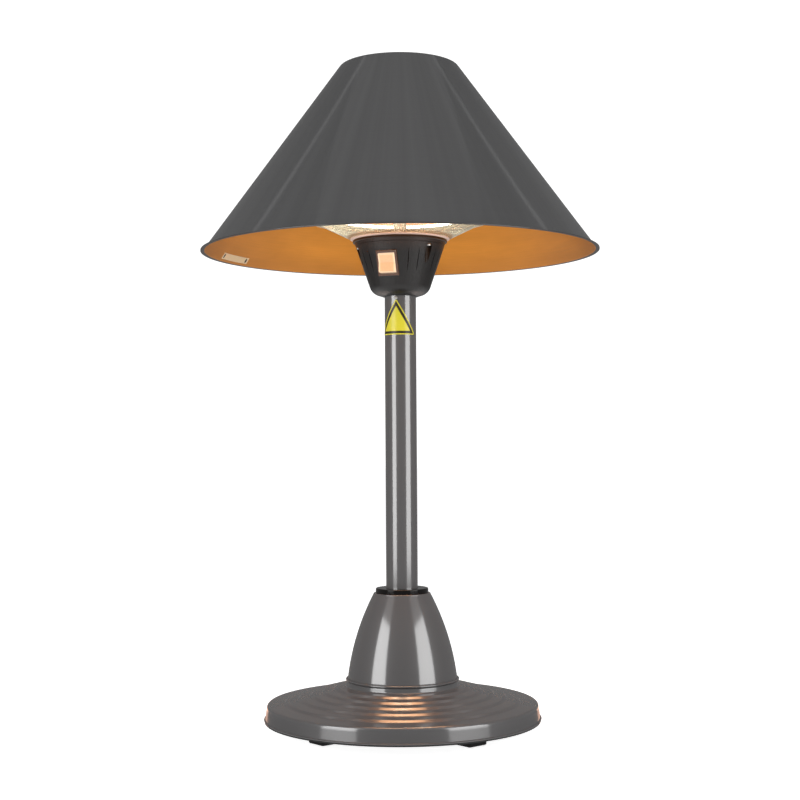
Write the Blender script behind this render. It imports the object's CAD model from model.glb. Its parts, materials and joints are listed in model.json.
import json
import math

import bpy
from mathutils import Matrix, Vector


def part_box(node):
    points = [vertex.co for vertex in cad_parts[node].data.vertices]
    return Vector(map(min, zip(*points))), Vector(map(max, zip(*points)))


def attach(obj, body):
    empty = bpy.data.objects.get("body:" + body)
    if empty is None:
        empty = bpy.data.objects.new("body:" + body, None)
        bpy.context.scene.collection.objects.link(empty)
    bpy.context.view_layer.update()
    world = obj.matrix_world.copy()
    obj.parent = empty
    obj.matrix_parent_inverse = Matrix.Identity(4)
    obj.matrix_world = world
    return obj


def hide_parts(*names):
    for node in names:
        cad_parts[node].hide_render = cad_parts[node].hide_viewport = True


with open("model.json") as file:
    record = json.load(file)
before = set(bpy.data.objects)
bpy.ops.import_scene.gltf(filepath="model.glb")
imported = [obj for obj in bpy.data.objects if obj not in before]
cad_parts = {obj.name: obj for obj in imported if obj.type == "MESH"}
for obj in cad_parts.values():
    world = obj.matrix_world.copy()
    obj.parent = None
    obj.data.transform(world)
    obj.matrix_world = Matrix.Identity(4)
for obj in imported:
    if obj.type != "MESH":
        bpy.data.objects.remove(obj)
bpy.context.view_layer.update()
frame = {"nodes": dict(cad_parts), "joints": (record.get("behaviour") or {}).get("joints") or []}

# ---- ballast ----
# A cast-iron disc inside the foot that keeps the heater from tipping. It is left as cast, with a
# coarse sand-mould skin, and is bolted between the dish and the bottom plate.


class Wire:
    """An output in a material's node tree. Python arithmetic on it adds Math nodes."""

    def __init__(self, tree, socket=None):
        self.tree = tree
        self.socket = socket

    def node(self, kind, settings=None, inputs=None, output=0):
        """Adds a node of that type: its settings first, then its sockets' values or links."""
        made = self.tree.nodes.new("ShaderNode" + kind)
        for name, value in (settings or {}).items():
            setattr(made, name, value)
        for name, value in (inputs or {}).items():
            if isinstance(value, Wire):
                self.tree.links.new(value.socket, made.inputs[name])
            else:
                made.inputs[name].default_value = value
        return Wire(self.tree, made.outputs[output])

    def math(self, operation, *values):
        return self.node("Math", {"operation": operation}, dict(enumerate(values)))

    def __add__(self, other):
        return self.math("ADD", self, other)

    __radd__ = __add__

    def __sub__(self, other):
        return self.math("SUBTRACT", self, other)

    def __rsub__(self, other):
        return self.math("SUBTRACT", other, self)

    def __mul__(self, other):
        return self.math("MULTIPLY", self, other)

    __rmul__ = __mul__

    def __truediv__(self, other):
        return self.math("DIVIDE", self, other)

    def size(self):
        return self.math("ABSOLUTE", self)

    def least(self, other):
        return self.math("MINIMUM", self, other)

    def most(self, other):
        return self.math("MAXIMUM", self, other)

    def between(self, low, high):
        """0 below low, 1 above high, and a smooth rise between."""
        ranged = {"Value": self, "From Min": low, "From Max": high}
        return self.node("MapRange", {"interpolation_type": "SMOOTHSTEP"}, ranged)

    def vector(self, operation, other, output=0):
        return self.node("VectorMath", {"operation": operation}, {0: self, 1: other}, output)

    def along(self, direction):
        """How far this place lies along a direction."""
        return self.vector("DOT_PRODUCT", direction, 1)

    def stretched(self, scale):
        return self.vector("MULTIPLY", scale)

    def from_axis(self):
        """How far this place is from the pole's axis."""
        return self.node("VectorMath", {"operation": "LENGTH"}, {0: self.stretched((1, 1, 0))}, 1)

    def way_out(self):
        """The level direction from the pole's axis to this place, one unit long."""
        return self.node("VectorMath", {"operation": "NORMALIZE"}, {0: self.stretched((1, 1, 0))})

    def turn(self):
        """The angle round the pole, 0 at the front and growing to the right."""
        return self.math("ARCTAN2", self.along((1, 0, 0)), self.along((0, -1, 0)))

    def blend(self, low, high):
        """The colour low where this is 0 and high where it is 1."""
        ends = {0: self, 6: low, 7: high}
        return self.node("Mix", {"data_type": "RGBA"}, ends, 2)

    def relief(self, depth, strength=1.0):
        """A normal from this height, depth metres from 0 to 1."""
        return self.node("Bump", {}, {"Height": self, "Distance": depth, "Strength": strength})


def place_on(tree):
    """The point's place in metres, in the heater's own frame. It moves with its piece."""
    return tree.node("TexCoord", output=3)


def mottle(place, per_metre, detail=3.0, roughness=0.55):
    sizes = {"Vector": place, "Scale": per_metre, "Detail": detail, "Roughness": roughness}
    return place.node("TexNoise", {}, sizes)


def finish(name, look, **constants):
    """A material. look gives what varies over the surface, and constants are set on the shader."""
    material = bpy.data.materials.new(name)
    material.use_nodes = True
    shader = material.node_tree.nodes["Principled BSDF"]
    for socket, value in constants.items():
        shader.inputs[socket.replace("_", " ")].default_value = value
    for socket, wire in look(Wire(material.node_tree)).items():
        material.node_tree.links.new(wire.socket, shader.inputs[socket])
    return material


def dress(material, *nodes):
    """Gives CAD nodes a finish."""
    for name in nodes:
        mesh = frame["nodes"][name].data
        mesh.materials.clear()
        mesh.materials.append(material)


def cast_iron_look(tree):
    place = place_on(tree)
    sand = mottle(place, 900, 6.0, 0.7)
    stain = mottle(place, 40)
    rust = (sand * 0.5 + stain * 0.5).between(0.56, 0.66)
    return {
        "Base Color": (stain * 0.7 + rust * 0.3).blend((0.026, 0.024, 0.023, 1), (0.085, 0.060, 0.045, 1)),
        "Roughness": 0.55 + sand * 0.35,
        "Normal": sand.relief(0.0006, 0.8),
    }


cast_iron = finish("cast_iron_skin", cast_iron_look, Metallic=0.5)
dress(cast_iron, "ballast")

# ---- bottom plate ----
# A flat steel disc that closes the foot from below, powder coated black with a fine orange peel.
# Three zinc-plated pan-head screws hold it to the ballast's pads.


def powder_coat_look(tree):
    place = place_on(tree)
    peel = mottle(place, 1400, 2.0)
    cloud = mottle(place, 18)
    dust = mottle(place, 220, 5.0, 0.7).between(0.52, 0.72)
    return {
        "Base Color": (cloud * 0.6 + dust * 0.4).blend((0.011, 0.011, 0.011, 1), (0.034, 0.033, 0.032, 1)),
        "Roughness": 0.40 + peel * 0.25 + dust * 0.1,
        "Normal": peel.relief(0.00025, 0.6),
    }


powder_coat = finish("black_powder_coat", powder_coat_look)
dress(powder_coat, "bottom_plate")


def zinc_look(tree):
    """Zinc plate: grey crystals with a faint straw-coloured haze and fine turning marks."""
    place = place_on(tree)
    crystal = place.node("TexVoronoi", {}, {"Vector": place, "Scale": 900})
    haze = mottle(place, 130)
    marks = mottle(place, 3200, 2.0)
    return {
        "Base Color": (haze * 0.8 + crystal * 0.2).blend((0.36, 0.34, 0.30, 1), (0.58, 0.58, 0.57, 1)),
        "Roughness": 0.24 + crystal * 0.22 + marks * 0.08,
        "Normal": marks.relief(0.00006, 0.5),
    }


zinc = finish("zinc_plate", zinc_look, Metallic=1.0)
dress(zinc, "bottom_plate_screws")

# ---- rubber feet ----
# Four square pads of black moulded rubber with rounded corners, dull and slightly dusty. A screw in
# a recess under each one holds it to the bottom plate.

FEET = ("foot_front_left", "foot_front_right", "foot_rear_right", "foot_rear_left")


def rubber_look(tree):
    place = place_on(tree)
    pores = mottle(place, 1800, 4.0, 0.65)
    dust = mottle(place, 90, 4.0).between(0.45, 0.75)
    return {
        "Base Color": (dust * 0.6).blend((0.008, 0.008, 0.008, 1), (0.032, 0.031, 0.030, 1)),
        "Roughness": 0.66 + pores * 0.26,
        "Normal": pores.relief(0.0003, 0.7),
    }


rubber = finish("black_rubber", rubber_look, Specular_IOR_Level=0.35)
dress(rubber, *FEET)
dress(zinc, "foot_screws")

# ---- tip-over switch ----
# A small moulded housing on the bottom plate, with a ceramic pin that the table presses in. A steel
# coil spring pushes the pin out when the heater is lifted or falls over.


def moulding_look(tree):
    """Black moulded plastic: fine spark-eroded grain with slow changes of gloss."""
    place = place_on(tree)
    grain = mottle(place, 2600, 3.0, 0.6)
    cloud = mottle(place, 30)
    return {
        "Base Color": cloud.blend((0.0085, 0.0078, 0.0076, 1), (0.016, 0.0145, 0.014, 1)),
        "Roughness": 0.34 + cloud * 0.10 + grain * 0.10,
        "Normal": grain.relief(0.00012, 0.5),
    }


moulding = finish("black_moulding", moulding_look)
dress(moulding, "tip_switch_housing")


def steatite_look(tree):
    """Unglazed ceramic: off-white, chalky, with fine dark specks."""
    place = place_on(tree)
    grain = mottle(place, 1500, 4.0)
    warm = mottle(place, 60)
    speck = mottle(place, 700, 2.0).between(0.66, 0.72)
    return {
        "Base Color": (warm * (1 - speck * 0.8)).blend((0.58, 0.54, 0.46, 1), (0.80, 0.77, 0.70, 1)),
        "Roughness": 0.48 + grain * 0.25,
        "Normal": grain.relief(0.0001, 0.5),
    }


steatite = finish("steatite", steatite_look)
dress(steatite, "tip_plunger")


def spring_steel_look(tree):
    """Drawn or rolled bright steel, with fine lines along the height."""
    place = place_on(tree)
    drawn = mottle(place.stretched((1, 1, 0.08)), 1200)
    tint = mottle(place, 70)
    return {
        "Base Color": (drawn * 0.6 + tint * 0.4).blend((0.50, 0.49, 0.47, 1), (0.74, 0.73, 0.71, 1)),
        "Roughness": 0.16 + drawn * 0.18,
        "Normal": drawn.relief(0.00008, 0.4),
    }


spring_steel = finish("spring_steel", spring_steel_look, Metallic=1.0)
dress(spring_steel, "tip_spring")
dress(zinc, "tip_switch_screws")

# ---- base dish ----
# A pressed steel dish with a raised centre, five rounded steps, a shoulder and a short skirt that
# ends in a turned-out lip. It is sprayed with grey metallic lacquer under a clear coat.

LACQUER_DARK = (0.096, 0.093, 0.094, 1)
LACQUER_LIGHT = (0.127, 0.123, 0.124, 1)
SHOULDER_R = 0.1615
SHOULDER_Z = 0.0300
GREY_LACQUER = {"Metallic": 0.15, "Coat_Weight": 1.0, "Coat_Roughness": 0.13, "Coat_IOR": 2.1}


def lacquer_look(tree):
    """Metal flake under clear lacquer, with a very slight orange peel. The skirt is less glossy."""
    place = place_on(tree)
    below_shoulder = 1 - place.along((0, 0, 1)).between(SHOULDER_Z - 0.003, SHOULDER_Z)
    skirt = place.from_axis().between(SHOULDER_R - 0.004, SHOULDER_R) * below_shoulder
    flake = place.node("TexVoronoi", {}, {"Vector": place, "Scale": 5200})
    peel = mottle(place, 420, 2.0)
    cloud = mottle(place, 14)
    return {
        "Base Color": (cloud * 0.7 + flake * 0.3).blend(LACQUER_DARK, LACQUER_LIGHT),
        "Roughness": 0.46 + flake * 0.12,
        "Coat Weight": 1 - skirt * 0.65,
        "Normal": peel.relief(0.00006, 0.35),
    }


lacquer = finish("grey_metallic_lacquer", lacquer_look, **GREY_LACQUER)
dress(lacquer, "base_dish")

# ---- supply inlet ----
# The mains lead goes in through a black bushed gland in the skirt's rear, with a hexagon nut inside.
# Its rubber sheath runs on through the ballast's slot and up the pole.

dress(moulding, "cable_gland", "gland_nut")


def sheath_look(tree):
    """Black rubber cable sheath: matt, with long faint lay marks."""
    place = place_on(tree)
    lay = mottle(place.stretched((1, 1, 0.15)), 700)
    scuff = mottle(place, 160, 4.0).between(0.55, 0.8)
    return {
        "Base Color": (scuff * 0.7).blend((0.010, 0.010, 0.010, 1), (0.040, 0.038, 0.036, 1)),
        "Roughness": 0.52 + lay * 0.25,
        "Normal": lay.relief(0.0002, 0.5),
    }


dress(finish("sheath_rubber", sheath_look), "supply_lead")

# ---- pole socket ----
# A turned steel flange with a spigot. Four hexagon bolts hold the flange through the dish to the
# ballast, and the pole slides over the spigot.


def turned_steel_look(tree):
    """Turned, zinc-plated steel: fine rings from the lathe tool."""
    place = place_on(tree)
    rings = mottle(place.stretched((0.05, 0.05, 1)) + place.from_axis(), 2400, 2.0)
    haze = mottle(place, 60)
    return {
        "Base Color": haze.blend((0.38, 0.37, 0.34, 1), (0.56, 0.56, 0.54, 1)),
        "Roughness": 0.24 + rings * 0.22,
        "Normal": rings.relief(0.00008, 0.5),
    }


turned_steel = finish("turned_steel", turned_steel_look, Metallic=1.0)
dress(turned_steel, "pole_socket")
dress(zinc, "socket_screws")

# ---- pole ----
# A straight round steel tube in the same grey lacquer as the foot. It is drawn down slightly along
# its length, and two pan-head screws under the bell hold it to the socket.


def pole_look(tree):
    place = place_on(tree)
    drawn = mottle(place.way_out(), 22, 3.0)
    flake = place.node("TexVoronoi", {}, {"Vector": place, "Scale": 5200})
    peel = mottle(place.stretched((1, 1, 0.3)), 420, 2.0)
    return {
        "Base Color": (drawn * 0.7 + flake * 0.3).blend(LACQUER_DARK, LACQUER_LIGHT),
        "Roughness": 0.46 + flake * 0.12,
        "Normal": peel.relief(0.00005, 0.3),
    }


dress(finish("grey_pole_lacquer", pole_look, **GREY_LACQUER), "pole_tube")
dress(zinc, "pole_bottom_screws")

# ---- bell cover ----
# A spun steel bell that slides down the pole over the socket, with a rolled bead at its foot. It has
# the foot's grey lacquer.

dress(lacquer, "bell_cover")

# ---- collar ----
# A glossy black moulded ring that drops on the bell's open top and hides it. A small grub screw at
# the rear holds it on the pole.


def gloss_black_look(tree):
    place = place_on(tree)
    swirl = mottle(place, 300, 2.0)
    dust = mottle(place, 1100, 3.0).between(0.62, 0.72)
    worn = swirl * 0.7 + dust * 0.3
    return {
        "Base Color": worn.blend((0.0034, 0.0024, 0.0020, 1), (0.0080, 0.0056, 0.0046, 1)),
        "Roughness": 0.07 + swirl * 0.06 + dust * 0.08,
        "Normal": swirl.relief(0.00004, 0.3),
    }


dress(finish("gloss_black_moulding", gloss_black_look), "pole_collar")
dress(zinc, "collar_screw")

# ---- pole label ----
# A printed vinyl triangle stuck round the pole near its top: yellow, with a dark line a little way
# inside its edge. It carries no words and no sign.

POLE_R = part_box("pole_tube")[1].x
LABEL_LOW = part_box("pole_label")[0].z
LABEL_SIDE = 0.050
LABEL_TURN = math.radians(-15.8)
LABEL_EDGE = 0.0013
LABEL_LINE = 0.0044
SHARP = 0.0002


def label_look(tree):
    place = place_on(tree)
    across = (place.turn() - LABEL_TURN) * POLE_R
    from_foot = place.along((0, 0, 1)) - LABEL_LOW
    lean_in = from_foot * math.sin(math.radians(30))
    from_left = (across + LABEL_SIDE / 2) * math.cos(math.radians(30)) - lean_in
    from_right = (LABEL_SIDE / 2 - across) * math.cos(math.radians(30)) - lean_in
    inset = from_left.least(from_right).least(from_foot)
    past_edge = inset.between(LABEL_EDGE - SHARP, LABEL_EDGE + SHARP)
    line = past_edge - inset.between(LABEL_LINE - SHARP, LABEL_LINE + SHARP)
    ink = mottle(place, 1500, 3.0)
    yellow = ink.blend((0.80, 0.74, 0.030, 1), (0.86, 0.80, 0.050, 1))
    return {
        "Base Color": line.blend(yellow, (0.020, 0.015, 0.002, 1)),
        "Roughness": 0.34 + ink * 0.12 + line * 0.1,
        "Normal": ink.relief(0.00003, 0.3),
    }


dress(finish("yellow_vinyl", label_look, Coat_Weight=0.3, Coat_Roughness=0.15), "pole_label")

# ---- head mount ----
# A casting that carries the lamp head: its spigot sits in the pole, held by one small pan-head
# screw, and its flange takes the heat shield. Painted black over a sand-cast skin.


def painted_casting_look(tree):
    place = place_on(tree)
    sand = mottle(place, 700, 5.0, 0.65)
    cloud = mottle(place, 50)
    return {
        "Base Color": cloud.blend((0.014, 0.014, 0.014, 1), (0.030, 0.029, 0.028, 1)),
        "Roughness": 0.45 + sand * 0.25,
        "Normal": sand.relief(0.0004, 0.7),
    }


dress(finish("painted_casting", painted_casting_look), "head_mount")
dress(zinc, "pole_top_screw")

# ---- bowl ----
# A bowl moulded in heat-proof black plastic, with slits that let warm air out, a switch pocket and
# three channels. A screw in each channel goes up into a brass insert in the bowl's top.

BOWL_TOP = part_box("bowl_housing")[1].z
BROWNED_DEPTH = 0.022


def bowl_look(tree):
    """Glossier than the other mouldings, with fine drag marks, and browned near the lamp."""
    place = place_on(tree)
    drag = mottle(place.way_out(), 30, 4.0, 0.6)
    grain = mottle(place, 2200, 3.0, 0.6)
    cloud = mottle(place, 26)
    near_lamp = place.along((0, 0, 1)).between(BOWL_TOP - BROWNED_DEPTH, BOWL_TOP)
    black = (cloud * 0.5 + drag * 0.5).blend((0.0075, 0.0060, 0.0055, 1), (0.0150, 0.0125, 0.0115, 1))
    return {
        "Base Color": near_lamp.blend(black, (0.042, 0.020, 0.011, 1)),
        "Roughness": 0.20 + drag * 0.16 + grain * 0.06,
        "Normal": (drag * 0.8 + grain * 0.2).relief(0.0008, 0.5),
    }


dress(finish("bowl_moulding", bowl_look), "bowl_housing")
dress(spring_steel, "bowl_screws")


def brass_look(tree):
    place = place_on(tree)
    tarnish = mottle(place, 260, 4.0)
    return {
        "Base Color": tarnish.blend((0.42, 0.26, 0.075, 1), (0.68, 0.47, 0.17, 1)),
        "Roughness": 0.24 + tarnish * 0.2,
        "Normal": tarnish.relief(0.00004, 0.4),
    }


brass = finish("brass", brass_look, Metallic=1.0)
dress(brass, "shield_inserts")

# ---- rocker switch ----
# A snap-in switch with a dark frame and a see-through orange rocker that a neon lamp behind it
# lights up. The rocker's raised edges are thinner and look paler than its middle.

ROCKER_JOINT = next(joint for joint in frame["joints"] if joint["name"] == "rocker")
SWITCH_WAY = Vector(ROCKER_JOINT["axis"]).normalized()
ROCKER_LOW, ROCKER_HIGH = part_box("rocker_cap")
ROCKER_CENTRE = (ROCKER_LOW + ROCKER_HIGH) / 2
ROCKER_LEAN = math.radians(18.9)
ROCKER_UP = Vector((
    SWITCH_WAY.y * math.sin(ROCKER_LEAN), -SWITCH_WAY.x * math.sin(ROCKER_LEAN), math.cos(ROCKER_LEAN)
))
ROCKER_HALF_WIDTH = 0.0102
ROCKER_HALF_LENGTH = 0.0118


def lit_rocker_look(tree):
    place = place_on(tree)
    across = (place.along(SWITCH_WAY) - ROCKER_CENTRE.dot(SWITCH_WAY)).size() / ROCKER_HALF_WIDTH
    upwards = (place.along(ROCKER_UP) - ROCKER_CENTRE.dot(ROCKER_UP)).size() / ROCKER_HALF_LENGTH
    edge = across.most(upwards).between(0.72, 1.0)
    ripple = mottle(place, 420, 3.0)
    glow = (edge * 0.85 + ripple * 0.15).blend((0.80, 0.420, 0.24, 1), (1.0, 0.84, 0.60, 1))
    return {
        "Base Color": ripple.blend((0.50, 0.20, 0.08, 1), (0.62, 0.27, 0.11, 1)),
        "Emission Color": glow,
        "Roughness": 0.16 + ripple * 0.10,
        "Normal": ripple.relief(0.0001, 0.3),
    }


lit_rocker = finish("lit_rocker", lit_rocker_look, Emission_Strength=0.86, Coat_Weight=0.5)
dress(lit_rocker, "rocker_cap")


def switch_frame_look(tree):
    """Smoked brown, slightly see-through plastic that takes some of the neon's colour."""
    place = place_on(tree)
    swirl = mottle(place, 260, 3.0)
    return {
        "Base Color": swirl.blend((0.060, 0.026, 0.014, 1), (0.105, 0.046, 0.024, 1)),
        "Roughness": 0.18 + swirl * 0.12,
        "Normal": swirl.relief(0.00006, 0.3),
    }


switch_frame = finish(
    "smoked_switch_frame", switch_frame_look, Coat_Weight=0.6, Emission_Color=(0.45, 0.14, 0.05, 1),
    Emission_Strength=0.07
)
dress(switch_frame, "switch_body")
dress(brass, "switch_blades")

# ---- wiring ----
# A ceramic terminal block with brass screws joins the lead's three cores to the switch and to the
# lamp. The lamp's wires have glass-fibre sleeves that stand the heat.

dress(steatite, "terminal_block")
dress(brass, "terminal_screws")


def insulation_look(tree):
    place = place_on(tree)
    sheen = mottle(place, 500)
    return {
        "Base Color": sheen.blend((0.54, 0.50, 0.42, 1), (0.70, 0.66, 0.58, 1)),
        "Roughness": 0.36 + sheen * 0.2,
        "Normal": sheen.relief(0.00005, 0.3),
    }


def glass_sleeve_look(tree):
    """Woven glass fibre: two crossing sets of fine ribs."""
    place = place_on(tree)
    ribs = {"Vector": place, "Scale": 900, "Distortion": 1.5}
    weave = place.node("TexWave", {"bands_direction": "DIAGONAL"}, ribs)
    return {
        "Base Color": weave.blend((0.62, 0.56, 0.44, 1), (0.84, 0.80, 0.70, 1)),
        "Roughness": 0.62 + weave * 0.2,
        "Normal": weave.relief(0.0002, 0.8),
    }


dress(finish("wire_insulation", insulation_look), "supply_cores", "switch_wires")
dress(finish("glass_fibre_sleeve", glass_sleeve_look), "lamp_wires")

# ---- heat shield ----
# A bright pressed lid on the bowl, whose edge flares out to the mesh guard. It keeps the lamp's heat
# off the switch, and its flare is slightly pink from heat tint.


def heat_shield_look(tree):
    place = place_on(tree)
    spun = mottle(place.stretched((0.02, 0.02, 1)) + place.from_axis(), 1500, 3.0)
    tint = mottle(place, 45)
    return {
        "Base Color": (spun * 0.4 + tint * 0.6).blend((0.86, 0.58, 0.46, 1), (0.95, 0.70, 0.58, 1)),
        "Roughness": 0.26 + spun * 0.2,
        "Normal": spun.relief(0.00006, 0.4),
    }


dress(finish("heat_tinted_steel", heat_shield_look, Metallic=0.2), "heat_shield")

# ---- tie rod ----
# A threaded rod and a spacer tube clamp the head mount, heat shield, reflector and shade together,
# with zinc-plated nuts and washers.

dress(zinc, "tie_rod", "reflector_nut")


def spacer_look(tree):
    """Bright-dipped tube: pale and soft, with fine turning marks."""
    place = place_on(tree)
    rings = mottle(place.stretched((0.05, 0.05, 1)) + place.from_axis(), 2400, 2.0)
    haze = mottle(place, 90)
    return {
        "Base Color": haze.blend((0.88, 0.87, 0.80, 1), (0.95, 0.94, 0.88, 1)),
        "Roughness": 0.36 + rings * 0.2,
        "Normal": rings.relief(0.00006, 0.4),
    }


dress(finish("bright_spacer", spacer_look, Metallic=0.2), "spacer_tube")

# ---- reflector ----
# A polished aluminium dish over the lamp with its edge turned out. Spring clips riveted under it hold
# the lamp's ring.


def reflector_look(tree):
    place = place_on(tree)
    spun = mottle(place.stretched((0.02, 0.02, 1)) + place.from_axis(), 1800, 3.0)
    haze = mottle(place, 30)
    return {
        "Base Color": haze.blend((0.62, 0.61, 0.54, 1), (0.70, 0.69, 0.62, 1)),
        "Roughness": 0.42 + spun * 0.16,
        "Normal": spun.relief(0.00005, 0.4),
    }


dress(finish("polished_aluminium", reflector_look, Metallic=0.6), "reflector_dish")
dress(spring_steel, "lamp_clips", "lamp_clip_rivets")

# ---- lamp ----
# A ring of quartz tube with a coiled filament and a ceramic cap on each end. The hot coil makes the
# whole tube glow, brightest in the middle of its run.

RING_LOW, RING_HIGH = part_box("lamp_tube")
RING_Z = (RING_LOW.z + RING_HIGH.z) / 2
TUBE_R = (RING_HIGH.z - RING_LOW.z) / 2
RING_R = RING_HIGH.x - TUBE_R
RING_GAP = math.radians(34.0)
GAP_TURN = math.radians(90.0)
COIL_R = (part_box("lamp_filament")[1].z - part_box("lamp_filament")[0].z) / 2
COIL_TURNS = 130
COIL_WIRE_R = 0.0003


def tube_mesh(name, paths, sides=5):
    """One mesh of round wires. A path is a list of (point, radius), open or closed."""
    points = []
    faces = []
    for path, closed in paths:
        start = len(points)
        count = len(path)
        for i, (here, radius) in enumerate(path):
            before = path[i - 1][0] if closed or i else here
            after = path[(i + 1) % count][0] if closed or i < count - 1 else here
            way = (after - before).normalized()
            side = way.cross(Vector((0, 0, 1))).normalized()
            top = side.cross(way)
            for k in range(sides):
                turn = math.tau * k / sides
                points.append(here + (side * math.cos(turn) + top * math.sin(turn)) * radius)
        for i in range(count if closed else count - 1):
            a = start + i * sides
            b = start + (i + 1) % count * sides
            for k in range(sides):
                faces.append((a + k, a + (k + 1) % sides, b + (k + 1) % sides, b + k))
        if not closed:
            last = start + (count - 1) * sides
            faces.append(tuple(range(start + sides - 1, start - 1, -1)))
            faces.append(tuple(range(last, last + sides)))
    mesh = bpy.data.meshes.new(name)
    mesh.from_pydata(points, [], faces)
    mesh.shade_smooth()
    return mesh


def add_piece(name, mesh, material, body, slot, *replaced):
    """Puts a new piece in the scene, in place of the CAD nodes that it stands for."""
    piece = bpy.data.objects.new(name, mesh)
    bpy.context.scene.collection.objects.link(piece)
    mesh.materials.append(material)
    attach(piece, body)
    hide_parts(*replaced)
    return piece


def coil_path():
    """The filament's helix, wound along the lamp's ring from one end cap to the other."""
    steps = COIL_TURNS * 10
    path = []
    for i in range(steps + 1):
        share = i / steps
        turn = GAP_TURN + RING_GAP / 2 + (math.tau - RING_GAP) * share
        phase = math.tau * COIL_TURNS * share
        radius = RING_R + (COIL_R - COIL_WIRE_R) * math.cos(phase)
        height = RING_Z + (COIL_R - COIL_WIRE_R) * math.sin(phase)
        path.append((Vector((radius * math.sin(turn), -radius * math.cos(turn), height)), COIL_WIRE_R))
    return path


def filament_look(tree):
    place = place_on(tree)
    heat = mottle(place, 200)
    return {
        "Base Color": heat.blend((0.30, 0.20, 0.12, 1), (0.45, 0.30, 0.18, 1)),
        "Emission Color": heat.blend((1.0, 0.80, 0.54, 1), (1.0, 0.86, 0.62, 1)),
        "Roughness": 0.5 + heat * 0.2,
    }


def quartz_look(tree):
    """Hot quartz, barely see-through: bright underneath, dim on top and towards its ends."""
    place = place_on(tree)
    flow = mottle(place, 160, 3.0)
    from_gap = place.way_out().along((math.sin(GAP_TURN), -math.cos(GAP_TURN), 0))
    from_ends = 1 - from_gap.between(math.cos(RING_GAP * 1.4), math.cos(RING_GAP / 2))
    beneath = 1 - place.along((0, 0, 1)).between(RING_Z - TUBE_R * 0.65, RING_Z - TUBE_R * 0.45)
    heat = from_ends * beneath * (0.8 + flow * 0.2)
    return {
        "Base Color": flow.blend((0.9, 0.5, 0.25, 1), (1.0, 0.6, 0.3, 1)),
        "Emission Color": heat.blend((0.048, 0.022, 0.012, 1), (1.0, 0.95, 0.75, 1)),
        "Roughness": 0.05 + flow * 0.06,
        "Alpha": 0.94 + flow * 0.05,
    }


add_piece(
    "lamp_filament_coil", tube_mesh("lamp_filament_coil", [(coil_path(), False)]),
    finish("glowing_filament", filament_look, Emission_Strength=12.0), "heater", "filament", "lamp_filament"
)
dress(finish("glowing_quartz", quartz_look, Emission_Strength=12.0), "lamp_tube")
dress(steatite, "lamp_end_cap_front", "lamp_end_cap_rear")

# ---- mesh guard ----
# A shallow cone of woven steel wire under the lamp, folded double along both edges. A pressed hem
# clamps its outer edge to the reflector, and heat has browned the wires near the edges.

GUARD_INNER = Vector((0.0603, 0.5924))
GUARD_OUTER = Vector((0.1094, 0.6162))
SPOKES = 150
RINGS = 20
WIRE_R = 0.0003
FOLD = 0.08


def on_guard(share, turn, lift=0.0):
    """A point on the guard's cone: share 0 at its inner edge and 1 at its outer edge."""
    radius, height = GUARD_INNER.lerp(GUARD_OUTER, share)
    return Vector((radius * math.sin(turn), -radius * math.cos(turn), height + lift))


def wire_radius(share):
    """Thicker where the mesh is folded double."""
    return WIRE_R * (1.7 if min(share, 1 - share) < FOLD else 1.0)


def guard_wires():
    wires = []
    steps = 2 * RINGS
    for s in range(SPOKES):
        turn = math.tau * s / SPOKES
        spoke = []
        for k in range(steps + 1):
            lift = WIRE_R * math.cos(math.pi * (k / 2 + s)) if 0 < k < steps else 0.0
            spoke.append((on_guard(k / steps, turn, lift), wire_radius(k / steps)))
        wires.append((spoke, False))
    for r in range(RINGS + 1):
        ring = []
        for k in range(2 * SPOKES):
            lift = -WIRE_R * math.cos(math.pi * (k / 2 + r)) if 0 < r < RINGS else 0.0
            ring.append((on_guard(r / RINGS, math.pi * k / SPOKES, lift), wire_radius(r / RINGS)))
        wires.append((ring, True))
    return wires


def guard_wire_look(tree):
    place = place_on(tree)
    share = (place.from_axis() - GUARD_INNER.x) / (GUARD_OUTER.x - GUARD_INNER.x)
    browned = 1 - share.least(1 - share).between(0.04, 0.12)
    scale = mottle(place, 300, 4.0)
    return {
        "Base Color": (browned * 0.8 + scale * 0.2).blend((0.66, 0.66, 0.55, 1), (0.46, 0.28, 0.15, 1)),
        "Roughness": 0.30 + scale * 0.25,
        "Normal": scale.relief(0.00003, 0.4),
    }


guard_steel = finish("browned_wire", guard_wire_look, Metallic=0.5)
add_piece(
    "mesh_guard_wires", tube_mesh("mesh_guard_wires", guard_wires()), guard_steel, "heater", "guard_steel",
    "mesh_guard"
)


def hem_look(tree):
    place = place_on(tree)
    pressed = mottle(place.way_out(), 40, 3.0)
    return {
        "Base Color": pressed.blend((0.66, 0.58, 0.42, 1), (0.86, 0.78, 0.60, 1)),
        "Roughness": 0.28 + pressed * 0.2,
        "Normal": pressed.relief(0.0001, 0.4),
    }


dress(finish("guard_hem_steel", hem_look, Metallic=0.9), "guard_hem")

# ---- shade ----
# A cone spun from aluminium sheet with a flat top and a small outward rim. It is lacquered satin
# grey outside and over the rim, dark under the rim, and copper-coloured inside.

CONE_FOOT_R = 0.2358
LIP_UNDERSIDE = (0.030, 0.022, 0.018, 1)


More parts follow.
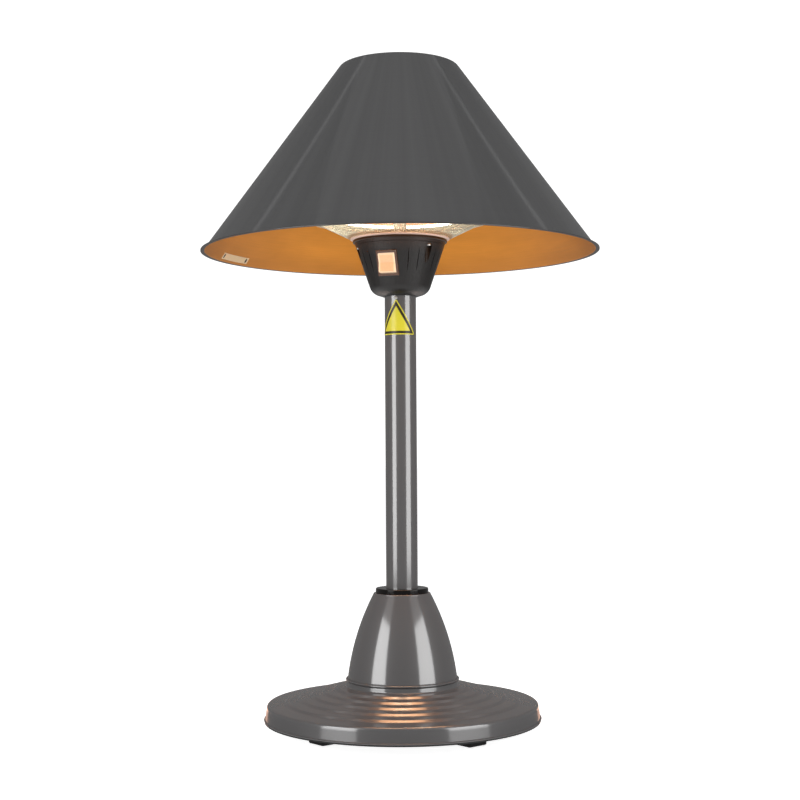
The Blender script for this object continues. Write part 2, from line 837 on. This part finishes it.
def shade_look(tree):
    place = place_on(tree)
    facing = tree.node("NewGeometry", output=1)
    below = 1 - facing.along((0, 0, 1)).between(-0.1, 0.1)
    inside = below * (1 - place.from_axis().between(CONE_FOOT_R - 0.0008, CONE_FOOT_R + 0.0004))
    spun = mottle(place.stretched((0.02, 0.02, 1)), 900, 4.0, 0.6)
    roller = mottle(place.way_out(), 8.0, 4.0, 0.6)
    cloud = mottle(place, 12)
    brushed = spun * 0.2 + roller * 0.7 + cloud * 0.1
    outer = brushed.blend((0.064, 0.064, 0.065, 1), (0.146, 0.146, 0.148, 1))
    smear = mottle(place.stretched((1, 1, 4)), 11, 3.0)
    rubbed = spun * 0.3 + cloud * 0.2 + smear * 0.5
    near_rim = place.from_axis().between(CONE_FOOT_R * 0.90, CONE_FOOT_R)
    copper = rubbed.blend((0.46, 0.165, 0.012, 1), (0.96, 0.375, 0.046, 1))
    browned = rubbed.blend((0.39, 0.140, 0.015, 1), (0.80, 0.312, 0.048, 1))
    inner = near_rim.blend(copper, browned)
    return {
        "Base Color": inside.blend(below.blend(outer, LIP_UNDERSIDE), inner),
        "Roughness": 0.40 + spun * 0.12,
        "Metallic": 0.25 + inside * 0.35,
        "Coat Weight": 0.45 - below * 0.40,
        "Normal": (spun * 0.7 + roller * 0.3).relief(0.00012, 0.35),
    }


shade_finish = finish("shade_lacquer", shade_look, Coat_Roughness=0.08)
dress(shade_finish, "shade")
dress(zinc, "shade_washers", "shade_lock_nut")
dress(spring_steel, "shade_cap_nut")

# ---- shade label ----
# A small cream plate riveted inside the shade, low on its left, with a dark slot near each end. Its
# face is left blank.

PLATE_TURN = math.radians(-113.4)
PLATE_R = 0.232
PLATE_MID = sum(corner.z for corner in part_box("shade_label")) / 2
SLOT_FROM_MIDDLE = 0.0272
SLOT_HALF_WIDTH = 0.0018
SLOT_HALF_HEIGHT = 0.0026


def plate_look(tree):
    place = place_on(tree)
    across = (((place.turn() - PLATE_TURN) * PLATE_R).size() - SLOT_FROM_MIDDLE) / SLOT_HALF_WIDTH
    upwards = (place.along((0, 0, 1)) - PLATE_MID) / SLOT_HALF_HEIGHT
    slot = 1 - (across * across + upwards * upwards).between(0.7, 1.2)
    fibre = mottle(place, 900, 5.0)
    cream = fibre.blend((0.80, 0.58, 0.33, 1), (0.90, 0.68, 0.42, 1))
    return {
        "Base Color": slot.blend(cream, (0.022, 0.012, 0.008, 1)),
        "Roughness": 0.45 + fibre * 0.2,
        "Normal": fibre.relief(0.00004, 0.4),
    }


dress(finish("cream_plate", plate_look), "shade_label")

# ---- studio ----
# A plain pale floor, two upright soft boxes in front with dimmer ones above them, weak ones at the
# sides, behind and overhead, and two narrow ones high up. Warm discs and panels stand for the lit
# lamp's light: under the shade, and below the floor where the skirt's ends mirror it.


def floor_look(tree):
    place = place_on(tree)
    return {"Base Color": mottle(place, 2).blend((0.84, 0.84, 0.84, 1), (0.86, 0.86, 0.86, 1))}


def add_floor(size, drop):
    half = size / 2
    mesh = bpy.data.meshes.new("studio_floor")
    corners = [(-half, -half, -drop), (half, -half, -drop), (half, half, -drop), (-half, half, -drop)]
    mesh.from_pydata(corners, [], [(0, 1, 2, 3)])
    white = {"Roughness": 0.9, "Emission_Color": (1, 1, 1, 1), "Emission_Strength": 0.9}
    mesh.materials.append(finish("pale_floor", floor_look, **white))
    made = bpy.data.objects.new("studio_floor", mesh)
    bpy.context.scene.collection.objects.link(made)
    made.visible_glossy = False
    made.visible_diffuse = False


add_floor(40.0, 0.0005)

GLINT_ORANGE = (1, 0.50, 0.24)
WARM_PINK = (1, 0.46, 0.44)
WARM_ORANGE = (1, 0.55, 0.38)


def soft_box(name, place, shape, power, spread=180, colour=(1, 1, 1), mirrored=True, lit=True):
    """A light at (azimuth, distance, height, height it aims at). Its shape is (width, height)."""
    light = bpy.data.lights.new(name, "AREA")
    light.shape = "RECTANGLE" if lit else "ELLIPSE"
    light.size, light.size_y = shape
    light.energy = power
    light.color = colour
    light.spread = math.radians(spread)
    made = bpy.data.objects.new(name, light)
    azimuth, distance, level, aim = place
    turn = math.radians(azimuth)
    made.location = (distance * math.sin(turn), -distance * math.cos(turn), level)
    towards = Vector((0, 0, aim)) - made.location
    made.rotation_euler = towards.to_track_quat("-Z", "Y").to_euler()
    made.visible_camera = False
    made.visible_glossy = mirrored
    made.visible_diffuse = lit
    bpy.context.scene.collection.objects.link(made)


soft_box("strip_left", (-51, 1.5, 0.55, 0.55), (0.80, 1.0), 9.3)
soft_box("strip_right", (53, 1.5, 0.55, 0.55), (0.95, 1.0), 9.7)
soft_box("upper_left", (-51, 1.5, 1.63, 1.63), (0.80, 1.15), 1.1)
soft_box("upper_right", (53, 1.5, 1.63, 1.63), (0.95, 1.15), 1.15)
soft_box("rear_left", (-135, 1.8, 0.9, 0.7), (0.50, 1.2), 3, mirrored=False)
soft_box("rear_right", (135, 1.8, 0.9, 0.7), (0.50, 1.2), 3, mirrored=False)
soft_box("overhead", (0, 0.4, 2.3, 0.5), (2.0, 2.0), 4)
soft_box("edge_left", (-120, 1.5, 2.3, 0.75), (0.08, 1.2), 0.24)
soft_box("edge_right", (120, 1.5, 2.3, 0.75), (0.08, 1.2), 0.24)
soft_box("side_left", (-95, 1.8, 0.9, 0.7), (0.5, 1.2), 2.2, mirrored=False)
soft_box("side_right", (95, 1.8, 0.9, 0.7), (0.5, 1.2), 2.2, mirrored=False)
soft_box("lamp_glow", (0, 0.0, 0.592, 0.0), (0.33, 0.33), 0.2, 60, GLINT_ORANGE, lit=False)
soft_box("lamp_warmth", (0, 0.0, 0.572, 0.0), (0.40, 0.40), 0.16, 80, WARM_PINK, mirrored=False)
soft_box("warm_left", (-158, 0.75, -0.12, 0.02), (0.56, 0.14), 0.45, colour=WARM_ORANGE, lit=False)
soft_box("warm_right", (158, 0.75, -0.12, 0.02), (0.56, 0.14), 0.45, colour=WARM_ORANGE, lit=False)

world = bpy.data.worlds.new("studio_air")
bpy.context.scene.world = world
world.use_nodes = True
air = Wire(world.node_tree)
seen = air.node("LightPath", output=0)
low_down = 1 - air.node("TexCoord", output=0).along((0, 0, 1)).between(-0.6, -0.2)
sky = world.node_tree.nodes["Background"]
world.node_tree.links.new((0.20 + low_down * 0.9 + seen * 1.0).socket, sky.inputs["Strength"])
sky.inputs["Color"].default_value = (1, 1, 1, 1)

camera_data = bpy.data.cameras.new("camera")
camera_data.lens = 65.25
camera_data.sensor_width = 36
camera = bpy.data.objects.new("camera", camera_data)
camera.location = (-0.0014, -1.754, 0.342)
camera.rotation_euler = (math.radians(90 + 1.77), math.radians(0.34), 0)
bpy.context.scene.collection.objects.link(camera)
bpy.context.scene.camera = camera
bpy.context.scene.view_settings.view_transform = "Standard"
